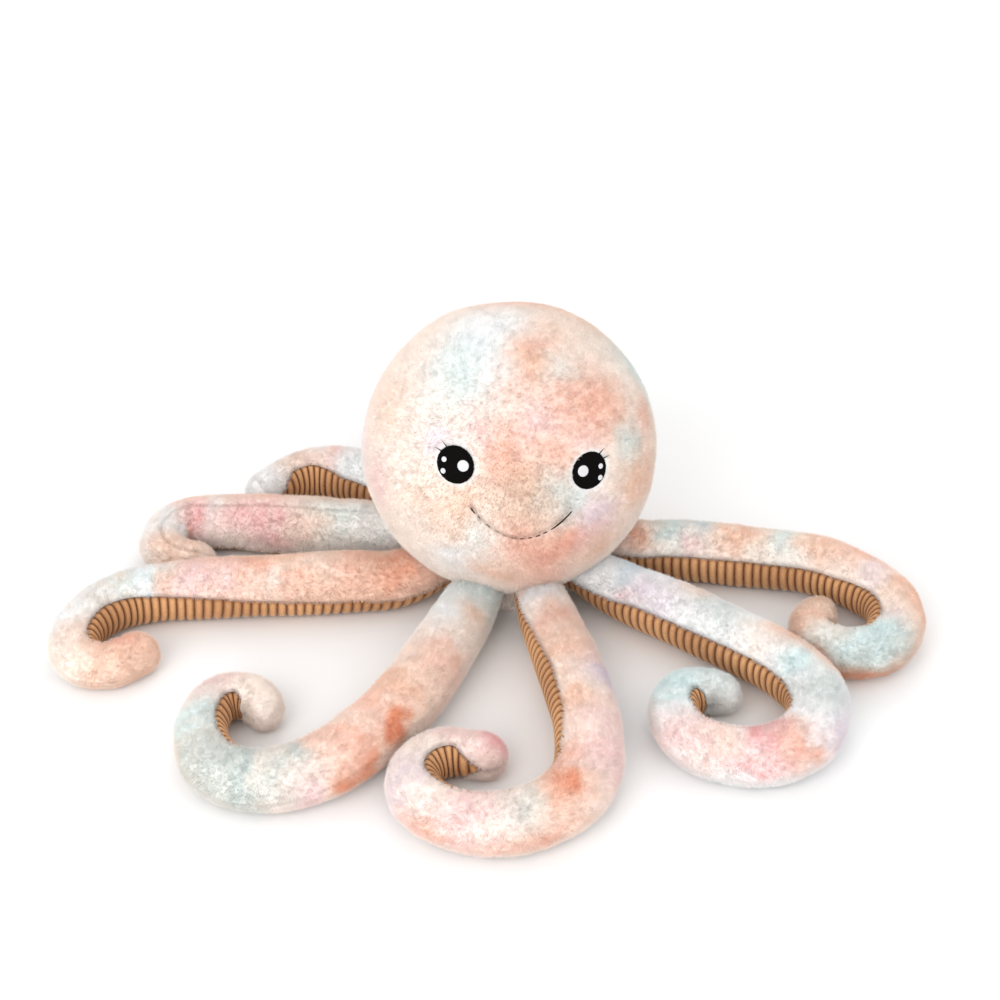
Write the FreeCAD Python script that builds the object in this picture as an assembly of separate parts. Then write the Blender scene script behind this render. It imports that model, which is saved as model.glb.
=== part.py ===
"""Giant plush octopus: a ball head on a small foot and eight curled arms lying on the floor.

Millimetres. +Z is up, the face looks towards -Y, and the origin is the centre of the base panel
on the floor. Every arm is a stuffed tube: a fur cover, a corduroy underside panel on the inside
of the curl, and a stuffing core, each made in a root length and a tip length.
"""
import FreeCAD, Part
import math
import os

from FreeCAD import Vector

# Head
HEAD_R = 188.0            # outside radius of the ball head
FOOT_R = 104.0            # radius of the short foot that the arm roots are sewn around
FOOT_EDGE = 3.0           # rounding of the foot's lower edge
BASE_PANEL_WALL = 4.0
WALL = 5.0                # fur or corduroy fabric with its pile
SLIVER = 0.001            # volume that counts as nothing
LAYER_GAP = 0.5           # clearance between layers that are sewn or pressed together

# Face, as angles on the head: across from the middle of the face, and up from the equator
FACE_TILT = 5.0           # the head sits tilted a little, so one eye is higher
FACE_TURN = -2.4          # and turned a little to its left side
EYE_ACROSS = 28.2
EYE_UP = 20.9
EYE_WIDTH = 50.0
EYE_HEIGHT = 46.0
EYE_LEAN = 20.0           # how far the eyes' long axes lean, mirrored left and right
PATCH_WALL = 1.6          # embroidered black patch
GLINT_WALL = 0.8          # embroidered white dots on the patch
GLINTS = [(11.5, 2.4, 7.4), (-13.8, 3.0, 3.6), (-11.8, -11.0, 3.6)]   # towards the nose, up, radius
MOUTH_HALF_WIDTH = 19.0   # degrees across
MOUTH_CORNER_UP = 6.2     # degrees up at the corners, and in the middle
MOUTH_MIDDLE_UP = -4.6
MOUTH_STITCHES = 12
STITCH_SHARE = 0.8        # how much of the mouth's line is thread, the rest is gaps
THREAD_R = 1.1
LASH_R = 0.8
LASH_LENGTH = 8.0
LASH_ANGLES = [128.0, 150.0]   # round the eye, from the side nearer the nose

# Arms
ROOT_DISTANCE = 104.5     # from the head's axis to the start of an arm's centre line
ROOT_HEIGHT = 45.0        # height of the centre line there
ROOT_STUB = 20.0          # extra length inside the head, cut away along its surface
SETTLE_LENGTH = 90.0      # length over which the arm comes down to lie on the floor
THICKNESS = [(0.0, 30.0), (0.09, 37.5), (0.2, 40.5), (0.45, 39.8), (0.62, 36.8), (0.78, 32.5),
             (0.9, 28.8), (1.0, 26.8)]      # radius against the share of the arm's length
PANEL_TOP = 25.0          # the corduroy's upper seam, degrees above the inside of the curl
PANEL_BOTTOM = -105.0     # its lower seam, under the arm
STEP_TURN = 12.0          # most turn between two sections of an arm
STEP_LENGTH = 40.0        # most length between two sections
TIP_SECTIONS = [0.45, 0.75, 0.92, 0.985]   # along the rounded end, as shares of its radius
CLOSED_R = 1.0            # inside radius where the rounded end is closed

# One arm: the direction of its root from the head's axis and its first heading, in degrees from
# +X and anticlockwise seen from above, the length at which the tip starts, and its runs as
# (length, turn). A positive turn is to the left. Last comes how far the corduroy is rolled up
# round the arm, in degrees against the share of the length, because each arm lies a bit twisted.
USUAL_ROLL = [(0, -28), (0.15, -3), (0.5, 0), (0.7, 30), (1, 30)]
ARMS = {
    "rear_left": (131, 138.5, 190, [(158, 5), (50, 16), (70, 58), (60, 6)], USUAL_ROLL),
    "left_rear": (166, 167, 280, [(245, 0), (78, 8), (128, 178), (36, 6)],
                  [(0, -65), (0.6, -65), (1, -30)]),
    "left_front": (-153, -148, 330,
                   [(90, -32), (242, -3), (70, 16), (84, 50), (46, 34), (74, 114), (54, 22)],
                   [(0, -42), (0.25, -30), (0.42, -15), (0.55, 0), (0.7, 25), (1, 25)]),
    "front_left": (-115.5, -115, 370,
                   [(196, -2), (170, -22), (74, -30), (114, -82), (88, -40), (58, -100), (48, -110)],
                   USUAL_ROLL),
    "front_right": (-78.5, -82, 330,
                    [(235, -2), (110, -18), (152, -80), (98, -56), (66, -66), (58, -72), (52, 2)],
                    [(0, -15), (0.12, 5), (0.25, 22), (0.45, 10), (0.6, 25), (0.75, 38), (1, 38)]),
    "right_front": (-43, -42, 345,
                    [(278, -3), (80, -22), (95, -62), (142, -96), (84, -60), (50, -74), (46, -100)],
                    USUAL_ROLL),
    "right_rear": (-8, -12, 340,
                   [(268, -5), (125, -42), (110, -78), (70, -80), (60, -70), (50, -80)],
                   USUAL_ROLL),
    "rear_right": (60, 78, 300,
                   [(150, 4), (120, 30), (120, 62), (100, 70), (90, 55), (60, 60), (50, 60)],
                   USUAL_ROLL),
}

HEAD_CENTRE = Vector(0, 0, HEAD_R)
UP = Vector(0, 0, 1)
FACE_POSE = FreeCAD.Rotation(UP, FACE_TURN).multiply(FreeCAD.Rotation(Vector(0, 1, 0), FACE_TILT))


def save(name, solids):
    """Write one node's solids, and stop on a solid that isn't sound."""
    for solid in solids:
        if not solid.isValid() or solid.Volume <= 0:
            raise RuntimeError(name + " isn't a valid solid")
    shape = solids[0] if len(solids) == 1 else Part.makeCompound(solids)
    shape.exportStep("parts/" + name + ".step")
    print("%-34s %2d solid(s) %11.0f mm3" % (name, len(solids), sum(s.Volume for s in solids)))


# ---- head -----------------------------------------------------------------------------------


def ball_height(radius, across):
    """Height at which a ball round the head's centre is this far from its axis, lower side."""
    return HEAD_R - math.sqrt(radius ** 2 - across ** 2)


def ball_arc(radius, across):
    """The edge of a ball's outline from the axis at the top down to this distance from it."""
    top = Vector(0, 0, HEAD_R + radius)
    side = Vector(radius, 0, HEAD_R)
    bottom = Vector(across, 0, ball_height(radius, across))
    return Part.Arc(top, side, bottom).toShape()


def line(a, b):
    return Part.LineSegment(a, b).toShape()


def head_cover(start, sweep):
    """Part of the fur shell, turned about the head's axis from one angle through another."""
    inside_r = HEAD_R - WALL
    foot_inside = FOOT_R - WALL
    outer = ball_arc(HEAD_R, FOOT_R)
    inner = ball_arc(inside_r, foot_inside)
    corner = FOOT_EDGE * (1 - math.sqrt(0.5))
    edges = [
        outer,
        line(Vector(FOOT_R, 0, ball_height(HEAD_R, FOOT_R)), Vector(FOOT_R, 0, FOOT_EDGE)),
        Part.Arc(Vector(FOOT_R, 0, FOOT_EDGE), Vector(FOOT_R - corner, 0, corner),
                 Vector(FOOT_R - FOOT_EDGE, 0, 0)).toShape(),
        line(Vector(FOOT_R - FOOT_EDGE, 0, 0), Vector(foot_inside, 0, 0)),
        line(Vector(foot_inside, 0, 0), Vector(foot_inside, 0, ball_height(inside_r, foot_inside))),
        inner,
        line(Vector(0, 0, HEAD_R + inside_r), Vector(0, 0, HEAD_R + HEAD_R)),
    ]
    outline = Part.Face(Part.Wire(Part.__sortEdges__(edges)))
    outline.rotate(Vector(0, 0, 0), UP, start)
    return outline.revolve(Vector(0, 0, 0), UP, sweep)


def head_stuffing():
    """The core that fills the covers, down to the base panel."""
    radius = HEAD_R - WALL - LAYER_GAP
    across = FOOT_R - WALL - LAYER_GAP
    floor = BASE_PANEL_WALL + LAYER_GAP
    edges = [
        ball_arc(radius, across),
        line(Vector(across, 0, ball_height(radius, across)), Vector(across, 0, floor)),
        line(Vector(across, 0, floor), Vector(0, 0, floor)),
        line(Vector(0, 0, floor), Vector(0, 0, HEAD_R + radius)),
    ]
    outline = Part.Face(Part.Wire(Part.__sortEdges__(edges)))
    return outline.revolve(Vector(0, 0, 0), UP, 360)


def cut_to_head(piece):
    """Cut a piece of an arm's root back to the head's surface, in the order that comes out clean."""
    ball = Part.makeSphere(HEAD_R + LAYER_GAP, HEAD_CENTRE)
    foot = Part.makeCylinder(FOOT_R + LAYER_GAP, HEAD_R / 2, Vector(0, 0, -FOOT_EDGE))
    for first, second in ((ball, foot), (foot, ball)):
        outside = piece.cut(first).cut(second)
        left_inside = outside.common(ball).Volume + outside.common(foot).Volume
        if outside.isValid() and left_inside < SLIVER:
            return outside.Solids
    raise RuntimeError("a root still reaches into the head")


def make_head():
    seam = math.degrees(LAYER_GAP / 2 / HEAD_R)
    save("head_front_cover", [head_cover(180 + seam, 180 - 2 * seam)])
    save("head_back_cover", [head_cover(seam, 180 - 2 * seam)])
    save("head_stuffing", [head_stuffing()])
    save("base_panel", [Part.makeCylinder(FOOT_R - WALL - LAYER_GAP, BASE_PANEL_WALL)])


# ---- face -----------------------------------------------------------------------------------


def face_direction(across, up):
    a = math.radians(across)
    u = math.radians(up)
    level = Vector(math.cos(u) * math.sin(a), -math.cos(u) * math.cos(a), math.sin(u))
    return FACE_POSE.multVec(level)


def beside(across, up, right, above):
    """Angles of the point that lies this many millimetres right of and above another."""
    above_degrees = math.degrees(above / HEAD_R)
    right_degrees = math.degrees(right / HEAD_R / math.cos(math.radians(up)))
    return across + right_degrees, up + above_degrees


def patch(across, up, width, height, lean, low, wall):
    """An oval of embroidery that lies on the head, as a piece of a thin ball shell."""
    out = face_direction(across, up)
    level = FACE_POSE.multVec(UP)
    side = level.cross(out).normalize()
    above = out.cross(side)
    turn = math.radians(lean)
    long_axis = side * math.cos(turn) + above * math.sin(turn)
    start = HEAD_CENTRE + out * (HEAD_R / 2)
    oval = Part.Ellipse(start + long_axis * (width / 2),
                        start + out.cross(long_axis) * (height / 2), start)
    core = Part.Face(Part.Wire(oval.toShape())).extrude(out * HEAD_R)
    inner = HEAD_R + low
    shell = Part.makeSphere(inner + wall, HEAD_CENTRE).cut(Part.makeSphere(inner, HEAD_CENTRE))
    return core.common(shell).Solids[0]


def stitch(start, end, radius):
    """One thread that follows the head from one face direction to another."""
    a = face_direction(*start)
    b = face_direction(*end)
    axis = a.cross(b)
    foot = HEAD_CENTRE + a * (HEAD_R + LAYER_GAP + radius)
    ring = Part.Face(Part.Wire(Part.Circle(foot, axis.cross(a), radius).toShape()))
    return ring.revolve(HEAD_CENTRE, axis, math.degrees(a.getAngle(b)))


def mouth_point(share):
    """A point of the smile, from -1 at one corner to 1 at the other."""
    return (MOUTH_HALF_WIDTH * share,
            MOUTH_MIDDLE_UP + (MOUTH_CORNER_UP - MOUTH_MIDDLE_UP) * share ** 2)


def make_face():
    lashes = []
    for name, side in (("left", -1), ("right", 1)):
        centre = (side * EYE_ACROSS, EYE_UP)
        low = LAYER_GAP
        eye = patch(*centre, EYE_WIDTH, EYE_HEIGHT, side * EYE_LEAN, low, PATCH_WALL)
        save("eye_" + name, [eye])
        low += PATCH_WALL + LAYER_GAP / 2
        glints = [patch(*beside(*centre, -side * nose, above), 2 * r, 2 * r - 0.2, 0, low, GLINT_WALL)
                  for nose, above, r in GLINTS]
        save("eye_glints_" + name, glints)
        for angle in LASH_ANGLES:
            turn = math.radians(angle)
            rim = EYE_WIDTH / 2 + 2 * LASH_R
            away = Vector(-side * math.cos(turn), math.sin(turn), 0)
            start = away * rim
            end = away * (rim + LASH_LENGTH)
            lashes.append(stitch(beside(*centre, start.x, start.y), beside(*centre, end.x, end.y),
                                 LASH_R))
    save("eyelashes", lashes)
    step = 2.0 / MOUTH_STITCHES
    stitches = [stitch(mouth_point(-1 + step * i), mouth_point(-1 + step * (i + STITCH_SHARE)), THREAD_R)
                for i in range(MOUTH_STITCHES)]
    save("mouth_stitching", stitches)


# ---- arms -----------------------------------------------------------------------------------


def read_table(table, share):
    """A value between the entries of a table of (share, value)."""
    for (x0, y0), (x1, y1) in zip(table, table[1:]):
        if share <= x1:
            return y0 + (y1 - y0) * (max(share, 0) - x0) / (x1 - x0)
    return table[-1][1]


def thickness(share):
    return read_table(THICKNESS, share)


def along(arm, distance):
    """Plan position and heading at a distance along an arm's centre line."""
    direction, heading, _, runs, _ = arm
    x = ROOT_DISTANCE * math.cos(math.radians(direction))
    y = ROOT_DISTANCE * math.sin(math.radians(direction))
    h = math.radians(heading)
    if distance <= 0:
        return x + distance * math.cos(h), y + distance * math.sin(h), h
    for length, degrees in runs:
        step = min(distance, length)
        bend = math.radians(degrees) * step / length
        chord = step * math.sin(bend / 2) / (bend / 2) if bend else step
        x += chord * math.cos(h + bend / 2)
        y += chord * math.sin(h + bend / 2)
        h += bend
        distance -= step
        if distance <= 0:
            break
    return x, y, h


def arm_length(arm):
    return sum(length for length, _ in arm[3])


def ring(arm, distance, outer, inner):
    """One section: its centre, the direction to the inside of the curl, radii and the roll."""
    x, y, h = along(arm, distance)
    side = 1 if sum(degrees for _, degrees in arm[3]) > 0 else -1
    inward = Vector(-math.sin(h), math.cos(h), 0) * side
    share = distance / arm_length(arm)
    radius = thickness(share)
    settled = min(max(distance / SETTLE_LENGTH, 0), 1)
    settled = settled * settled * (3 - 2 * settled)
    height = ROOT_HEIGHT + (radius - ROOT_HEIGHT) * settled
    return Vector(x, y, height), inward, outer, inner, read_table(arm[4], share)


def rings(arm, first, last, rounded):
    """Sections between two distances along an arm, closer together where it turns."""
    total = arm_length(arm)
    end_radius = thickness(1)
    end = last - end_radius if rounded else last
    marks = []
    start = 0
    for length, degrees in arm[3]:
        count = math.ceil(max(length / STEP_LENGTH, abs(degrees) / STEP_TURN))
        marks += [start + length * i / count for i in range(count)]
        start += length
    marks = [first] + [m for m in marks if first + WALL < m < end - WALL] + [end]
    result = []
    for mark in marks:
        radius = thickness(mark / total)
        result.append(ring(arm, mark, radius, radius - WALL))
    if rounded:
        for share in TIP_SECTIONS:
            ahead = end_radius * share
            outer = end_radius * math.sqrt(1 - share ** 2)
            inner = math.sqrt(max((end_radius - WALL) ** 2 - ahead ** 2, CLOSED_R ** 2))
            result.append(ring(arm, end + ahead, outer, inner))
    return result


def on_ring(section, angle, radius):
    centre, inward, _, _, _ = section
    return centre + inward * (radius * math.cos(angle)) + UP * (radius * math.sin(angle))


def wall_outline(section, low, high):
    """Outline of a fabric wall between two angles, closed by a straight seam edge at each side."""
    _, _, outer, inner, roll = section
    allowance = LAYER_GAP / 2 / outer
    a = math.radians(low + roll) + allowance
    b = math.radians(high + roll) - allowance
    middle = (a + b) / 2
    return Part.Wire([
        Part.Arc(on_ring(section, a, outer), on_ring(section, middle, outer),
                 on_ring(section, b, outer)).toShape(),
        line(on_ring(section, b, outer), on_ring(section, b, inner)),
        Part.Arc(on_ring(section, b, inner), on_ring(section, middle, inner),
                 on_ring(section, a, inner)).toShape(),
        line(on_ring(section, a, inner), on_ring(section, a, outer)),
    ])


def core_outline(section):
    """Outline of the stuffing, as two half circles."""
    radius = section[3] - LAYER_GAP
    corners = [on_ring(section, math.pi / 2 * i, radius) for i in range(4)]
    return Part.Wire([Part.Arc(corners[0], corners[1], corners[2]).toShape(),
                      Part.Arc(corners[2], corners[3], corners[0]).toShape()])


def arm_pieces(sections):
    """The fur cover, the corduroy underside and the stuffing of one length of an arm."""
    cover = Part.makeLoft([wall_outline(s, PANEL_TOP, 360 + PANEL_BOTTOM) for s in sections],
                          True, True)
    underside = Part.makeLoft([wall_outline(s, PANEL_BOTTOM, PANEL_TOP) for s in sections],
                              True, True)
    core = Part.makeLoft([core_outline(s) for s in sections if s[3] > WALL], True, True)
    return {"cover": cover, "underside": underside, "stuffing": core}


def make_arm(name, arm):
    split = arm[2]
    half_gap = LAYER_GAP / 2
    root = arm_pieces(rings(arm, -ROOT_STUB, split - half_gap, False))
    for layer, piece in root.items():
        save(name + "_arm_root_" + layer, cut_to_head(piece))
    tip = arm_pieces(rings(arm, split + half_gap, arm_length(arm), True))
    for layer, piece in tip.items():
        save(name + "_arm_tip_" + layer, piece.Solids)


os.makedirs("parts", exist_ok=True)
make_head()
make_face()
for arm_name, arm_shape in ARMS.items():
    make_arm(arm_name, arm_shape)
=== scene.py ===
"""Looks of the giant plush octopus: tie-dye fur skins, corduroy undersides and an embroidered face.

Lengths in this script are millimetres, like the CAD's, and become metres when a mesh is made.
An arm is laid out as a grid of rows along its length and columns around it. The corduroy takes
the columns on the inside of the curl and the fur takes the rest. Each skin is cut into three
lengths: one over the root hinge and one over the middle hinge, which stay where they are made,
and one that rides on the tip.
"""
import math

import bpy
import numpy as np
from mathutils import Matrix, Vector


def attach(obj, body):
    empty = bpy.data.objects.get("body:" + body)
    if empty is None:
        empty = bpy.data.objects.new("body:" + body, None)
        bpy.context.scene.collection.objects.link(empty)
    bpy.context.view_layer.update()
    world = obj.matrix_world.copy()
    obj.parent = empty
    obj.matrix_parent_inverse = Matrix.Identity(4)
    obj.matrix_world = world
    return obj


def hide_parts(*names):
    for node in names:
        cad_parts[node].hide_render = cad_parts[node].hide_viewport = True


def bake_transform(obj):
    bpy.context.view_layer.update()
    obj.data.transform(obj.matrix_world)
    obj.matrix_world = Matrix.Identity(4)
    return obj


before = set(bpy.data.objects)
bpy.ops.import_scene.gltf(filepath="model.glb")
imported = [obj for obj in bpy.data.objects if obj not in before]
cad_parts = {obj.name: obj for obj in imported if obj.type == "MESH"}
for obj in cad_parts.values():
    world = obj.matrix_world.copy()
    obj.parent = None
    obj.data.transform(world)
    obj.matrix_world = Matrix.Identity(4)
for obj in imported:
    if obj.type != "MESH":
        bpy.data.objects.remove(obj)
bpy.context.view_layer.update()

MM = 0.001

# ---- driving dimensions, the same as the CAD's ----

HEAD_R = 188.0
FOOT_R = 104.0
FOOT_EDGE = 3.0
FACE_TILT = 5.0
FACE_TURN = -2.4
EYE_ACROSS = 28.2
EYE_UP = 20.9
EYE_WIDTH = 50.0
EYE_HEIGHT = 46.0
EYE_LEAN = 20.0
GLINTS = [(11.5, 2.4, 7.4), (-13.8, 3.0, 3.6), (-11.8, -11.0, 3.6)]
MOUTH_HALF_WIDTH = 19.0
MOUTH_CORNER_UP = 6.2
MOUTH_MIDDLE_UP = -4.6
LASH_LENGTH = 8.0
LASH_ANGLES = [128.0, 150.0]

ROOT_DISTANCE = 104.5
ROOT_HEIGHT = 45.0
ROOT_STUB = 20.0
SETTLE_LENGTH = 90.0
THICKNESS = [(0.0, 30.0), (0.09, 37.5), (0.2, 40.5), (0.45, 39.8), (0.62, 36.8), (0.78, 32.5),
             (0.9, 28.8), (1.0, 26.8)]
PANEL_TOP = 25.0
PANEL_BOTTOM = -105.0

# rolls of an arm's panels round its centre line: (share of the length, degrees)
USUAL_ROLL = [(0, -28), (0.15, -3), (0.5, 0), (0.7, 30), (1, 30)]

# direction of the root, first heading, where the tip starts, runs of (length, turn), rolls
ARMS = {
    "rear_left": (131, 138.5, 190, [(158, 5), (50, 16), (70, 58), (60, 6)], USUAL_ROLL),
    "left_rear": (166, 167, 280, [(245, 0), (78, 8), (128, 178), (36, 6)],
                  [(0, -65), (0.6, -65), (1, -30)]),
    "left_front": (-153, -148, 330,
                   [(90, -32), (242, -3), (70, 16), (84, 50), (46, 34), (74, 114), (54, 22)],
                   [(0, -42), (0.25, -30), (0.42, -15), (0.55, 0), (0.7, 25), (1, 25)]),
    "front_left": (-115.5, -115, 370,
                   [(196, -2), (170, -22), (74, -30), (114, -82), (88, -40), (58, -100), (48, -110)],
                   USUAL_ROLL),
    "front_right": (-78.5, -82, 330,
                    [(235, -2), (110, -18), (152, -80), (98, -56), (66, -66), (58, -72), (52, 2)],
                    [(0, -15), (0.12, 5), (0.25, 22), (0.45, 10), (0.6, 25), (0.75, 38), (1, 38)]),
    "right_front": (-43, -42, 345,
                    [(278, -3), (80, -22), (95, -62), (142, -96), (84, -60), (50, -74), (46, -100)],
                    USUAL_ROLL),
    "right_rear": (-8, -12, 340,
                   [(268, -5), (125, -42), (110, -78), (70, -80), (60, -70), (50, -80)],
                   USUAL_ROLL),
    "rear_right": (60, 78, 300,
                   [(150, 4), (120, 30), (120, 62), (100, 70), (90, 55), (60, 60), (50, 60)],
                   USUAL_ROLL),
}

# ---- looks ----

FUR_GRID = 2.6            # mesh size of the fur skins along an arm
FUR_COLUMN = 3.4          # and around it, where the surface is smoother
PILE = 4.2                # length of the pile
PILE_SINK = 2.7           # the skin lies this far inside the outline that the pile reaches
HAIRS_PER_MM2 = 0.26      # guide hairs, each with CHILD_HAIRS round it
CHILD_HAIRS = 4
USUAL_RADIUS = 38.0       # an arm's usual radius, which its skins are laid out with
FUR_SHARE = 0.72          # how much of the way round an arm the fur reaches
FUR_WIDTH = 175.0         # and how wide that is, to count the hairs by
HEAD_HALF_AREA = 210000.0
EDGE_SINK = 2.6           # the fur's edges are drawn in where they meet the corduroy
SEAM_SINK = 1.7           # depth of the groove along an arm's back seam
SEAM_PUFF = 0.7           # and the swelling beside it
CORD_ROW = 1.15           # mesh size along the arm on the corduroy
CORD_COLUMN = 3.2
CORD_SINK = 2.0           # the corduroy's grooves lie this far inside the skin of the fur
CORD_END = 24.0           # the corduroy stops this far before the arm's end
WALE = 11.5               # width of one corduroy wale
WALE_RELIEF = 4.0
GATHER = 0.36             # the most that the corduroy is gathered on the inside of a curl
ARM_PRESS = 2.0           # how far an arm's underside is pressed flat by its own weight

# tie-dye colours, as they look on the fabric
CREAM = (0.98, 0.94, 0.91)
WHITE = (0.97, 0.97, 0.97)
AQUA = (0.89, 0.94, 0.94)
BLUE = (0.84, 0.90, 0.93)
GREY = (0.82, 0.85, 0.84)
PEACH = (0.96, 0.85, 0.78)
CORAL = (0.95, 0.76, 0.68)
ORANGE = (0.92, 0.64, 0.50)
PINK = (0.96, 0.87, 0.86)
ROSE = (0.94, 0.76, 0.76)
LILAC = (0.93, 0.89, 0.92)
SAND = (0.86, 0.74, 0.65)
# corduroy: the colour of its crests, and a darker colour painted down in its grooves as shade
TAN_CREST = (0.88, 0.67, 0.48)
TAN_GROOVE_SHADE = (0.34, 0.18, 0.09)
BLACK = (0.004, 0.003, 0.003)
THREAD_WHITE = (0.82, 0.82, 0.84)


def smooth(x):
    """An eased step from 0 to 1 as x goes from 0 to 1."""
    x = np.clip(x, 0, 1)
    return x * x * (3 - 2 * x)


class Noise:
    """Repeatable smooth noise from -1 to 1 at points in space."""

    def __init__(self, seed, size=48):
        self.size = size
        self.lattice = np.random.default_rng(seed).uniform(-1, 1, (size, size, size))

    def __call__(self, points, scale):
        p = np.asarray(points) / scale
        low = np.floor(p).astype(int)
        f = smooth(p - low)
        value = 0
        for corner in np.ndindex(2, 2, 2):
            index = (low + corner) % self.size
            weight = np.prod(np.where(corner, f, 1 - f), axis=-1)
            value = value + weight * self.lattice[index[..., 0], index[..., 1], index[..., 2]]
        return value


LUMPS = Noise(11)
CLUMPS = Noise(23)
DYE = Noise(37)


# ---- meshes ----


def make_mesh(name, points, quads, colours=None, uvs=None, extra_faces=()):
    """An object from points in millimetres, with the dye and painted shade as a colour and a layout in
    metres.
    """
    mesh = bpy.data.meshes.new(name)
    faces = [tuple(int(i) for i in q) for q in quads] + [tuple(f) for f in extra_faces]
    mesh.from_pydata([tuple(p) for p in np.asarray(points) * MM], [], faces)
    mesh.polygons.foreach_set("use_smooth", [True] * len(mesh.polygons))
    corner = np.empty(len(mesh.loops), int)
    mesh.loops.foreach_get("vertex_index", corner)
    if colours is not None:
        layer = mesh.color_attributes.new("dye", "BYTE_COLOR", "CORNER")
        rgba = np.ones((len(corner), 4))
        rgba[:, :3] = np.asarray(colours)[corner]
        layer.data.foreach_set("color_srgb", rgba.ravel())
    if uvs is not None:
        layer = mesh.uv_layers.new(name="layout")
        layer.data.foreach_set("uv", (np.asarray(uvs)[corner] * MM).ravel())
    mesh.update()
    thing = bpy.data.objects.new(name, mesh)
    bpy.context.scene.collection.objects.link(thing)
    return thing


def grid_quads(rows, columns, flip=False):
    """The four-sided faces of a grid of points, numbered row by row."""
    index = np.arange(rows * columns).reshape(rows, columns)
    a, b, c, d = index[:-1, :-1], index[:-1, 1:], index[1:, 1:], index[1:, :-1]
    order = (a, d, c, b) if flip else (a, b, c, d)
    return np.stack([q.ravel() for q in order], axis=1)


# ---- materials ----


class Nodes:
    """A short way to write a node tree."""

    def __init__(self, name):
        self.material = bpy.data.materials.new(name)
        self.material.use_nodes = True
        self.tree = self.material.node_tree
        self.tree.nodes.clear()
        self.shader = self.add("ShaderNodeBsdfPrincipled")
        self.output = self.add("ShaderNodeOutputMaterial")
        self.link(self.shader, "BSDF", self.output, "Surface")

    def add(self, kind, **settings):
        node = self.tree.nodes.new(kind)
        for key, value in settings.items():
            if hasattr(node, key):
                setattr(node, key, value)
            else:
                node.inputs[key].default_value = value
        return node

    def link(self, source, output, target, socket):
        self.tree.links.new(source.outputs[output], target.inputs[socket])

    def set(self, **values):
        for key, value in values.items():
            self.shader.inputs[key.replace("_", " ")].default_value = value


def ramp(nodes, source, output, low, high):
    """A colour that goes from one to the other as a value goes from 0 to 1."""
    mix = nodes.add("ShaderNodeMix", data_type="RGBA")
    mix.inputs[6].default_value = (*low, 1)
    mix.inputs[7].default_value = (*high, 1)
    nodes.link(source, output, mix, 0)
    return mix


def fur_material(name, coordinate):
    """Pastel plush: its colour attribute (the dye, with painted shade along seams, edges and the smile's
    groove), flecked lighter and darker as painted light where single fibres catch it, with a soft sheen.
    """
    nodes = Nodes(name)
    nodes.set(Roughness=0.9, Specular_IOR_Level=0.25, Sheen_Weight=0.5, Sheen_Roughness=0.5)
    nodes.shader.inputs["Sheen Tint"].default_value = (1.0, 0.96, 0.93, 1)
    dye = nodes.add("ShaderNodeVertexColor", layer_name="dye")
    place = nodes.add("ShaderNodeTexCoord")
    fleck = nodes.add("ShaderNodeTexNoise", Scale=520.0, Detail=3.0, Roughness=0.65)
    tuft = nodes.add("ShaderNodeTexNoise", Scale=130.0, Detail=2.0, Roughness=0.55)
    for texture in (fleck, tuft):
        nodes.link(place, coordinate, texture, "Vector")
    flecks = nodes.add("ShaderNodeMapRange")
    flecks.inputs["From Min"].default_value = 0.3
    flecks.inputs["From Max"].default_value = 0.7
    flecks.inputs["To Min"].default_value = 0.94
    flecks.inputs["To Max"].default_value = 1.05
    nodes.link(fleck, "Fac", flecks, "Value")
    tint = nodes.add("ShaderNodeVectorMath", operation="SCALE")
    nodes.link(dye, "Color", tint, 0)
    nodes.link(flecks, "Result", tint, "Scale")
    nodes.link(tint, "Vector", nodes.shader, "Base Color")
    total = nodes.add("ShaderNodeMath", operation="MULTIPLY_ADD")
    total.inputs[1].default_value = 0.5
    nodes.link(fleck, "Fac", total, 0)
    nodes.link(tuft, "Fac", total, 2)
    bump = nodes.add("ShaderNodeBump", Strength=0.4, Distance=0.0009)
    nodes.link(total, "Value", bump, "Height")
    nodes.link(bump, "Normal", nodes.shader, "Normal")
    return nodes.material


def corduroy_material(name):
    """Wide-wale corduroy: grooves painted dark as shade and lighter crests, from its colour attribute, and
    a streaky velvet pile.
    """
    nodes = Nodes(name)
    nodes.set(Roughness=0.88, Specular_IOR_Level=0.2, Sheen_Weight=0.5, Sheen_Roughness=0.35)
    nodes.shader.inputs["Sheen Tint"].default_value = (1.0, 0.85, 0.66, 1)
    dye = nodes.add("ShaderNodeVertexColor", layer_name="dye")
    place = nodes.add("ShaderNodeTexCoord")
    stretch = nodes.add("ShaderNodeMapping")
    stretch.inputs["Scale"].default_value = (1400.0, 260.0, 1.0)
    nodes.link(place, "UV", stretch, "Vector")
    streak = nodes.add("ShaderNodeTexNoise", Scale=1.0, Detail=3.0, Roughness=0.6)
    nodes.link(stretch, "Vector", streak, "Vector")
    flecks = nodes.add("ShaderNodeMapRange")
    flecks.inputs["From Min"].default_value = 0.3
    flecks.inputs["From Max"].default_value = 0.7
    flecks.inputs["To Min"].default_value = 0.72
    flecks.inputs["To Max"].default_value = 1.16
    nodes.link(streak, "Fac", flecks, "Value")
    tint = nodes.add("ShaderNodeVectorMath", operation="SCALE")
    nodes.link(dye, "Color", tint, 0)
    nodes.link(flecks, "Result", tint, "Scale")
    nodes.link(tint, "Vector", nodes.shader, "Base Color")
    bump = nodes.add("ShaderNodeBump", Strength=0.6, Distance=0.0008)
    nodes.link(streak, "Fac", bump, "Height")
    nodes.link(bump, "Normal", nodes.shader, "Normal")
    return nodes.material


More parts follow.
